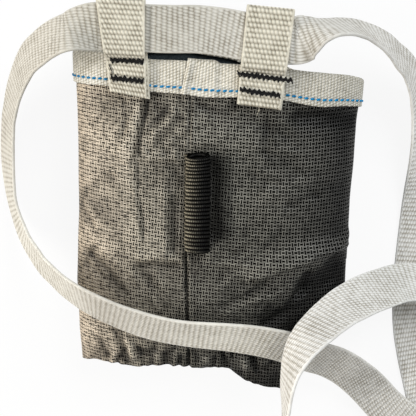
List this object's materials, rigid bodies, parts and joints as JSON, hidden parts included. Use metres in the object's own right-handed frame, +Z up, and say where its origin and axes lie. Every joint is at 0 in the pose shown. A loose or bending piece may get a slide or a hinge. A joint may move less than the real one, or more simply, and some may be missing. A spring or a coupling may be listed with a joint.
{
  "type": "chalk bag",
  "caption": "Flat-lying cylindrical chalk bag of shiny woven cloth with a bound rim, brush loop, webbing belt loops and a long white waist belt.",
  "frame": {"origin": "on the flat back of the bag, 80 mm above its base seam in the middle of its width, where it lies on a surface", "axes": "+X to the right seen from above the front, +Y along the bag toward its mouth, +Z up from the back through the front"},
  "size_m": [0.3242, 0.3436, 0.0897],
  "materials": {
    "cloth": "satin",
    "lining": "matte",
    "tape": "matte",
    "webbing": "matte",
    "black_thread": "matte",
    "blue_thread": "satin",
    "elastic": "matte",
    "band": "matte",
    "buckle": "matte"
  },
  "bodies": {
    "bag": {"body_wall": "cloth", "base_panel": "cloth", "lining_wall": "lining", "lining_base": "lining", "rim_stiffener": "band", "rim_binding": "tape", "binding_topstitch": "blue_thread", "belt_loop_left": "webbing", "belt_loop_right": "webbing", "bartack_left_upper": "black_thread", "bartack_left_lower": "black_thread", "bartack_right_upper": "black_thread", "bartack_right_lower": "black_thread", "belt": "webbing", "buckle_socket": "buckle", "buckle_plug": "buckle"},
    "brush_holder": {"brush_loop": "elastic"},
    "prong_left": {"buckle_prong_left": "buckle"},
    "prong_right": {"buckle_prong_right": "buckle"}
  },
  "joints": [
    {"name": "brush_loop_swing", "type": "hinge", "parent": "bag", "child": "brush_holder", "pos_m": [-0.0182, 0.0178, 0.0482], "axis": [0, -1, 0], "range_deg": [0, 60], "stiffness_Nm_per_rad": 0.004},
    {"name": "prong_left_squeeze", "type": "hinge", "parent": "bag", "child": "prong_left", "pos_m": [0.0798, -0.1898, 0.003], "axis": [0, 0, -1], "range_deg": [0, 6], "stiffness_Nm_per_rad": 0.5},
    {"name": "prong_right_squeeze", "type": "hinge", "parent": "bag", "child": "prong_right", "pos_m": [0.0798, -0.2082, 0.003], "axis": [0, 0, 1], "range_deg": [0, 6], "stiffness_Nm_per_rad": 0.5}
  ],
  "couplings": [
    {"joint": "prong_right_squeeze", "follows": "prong_left_squeeze", "ratio": 1}
  ]
}
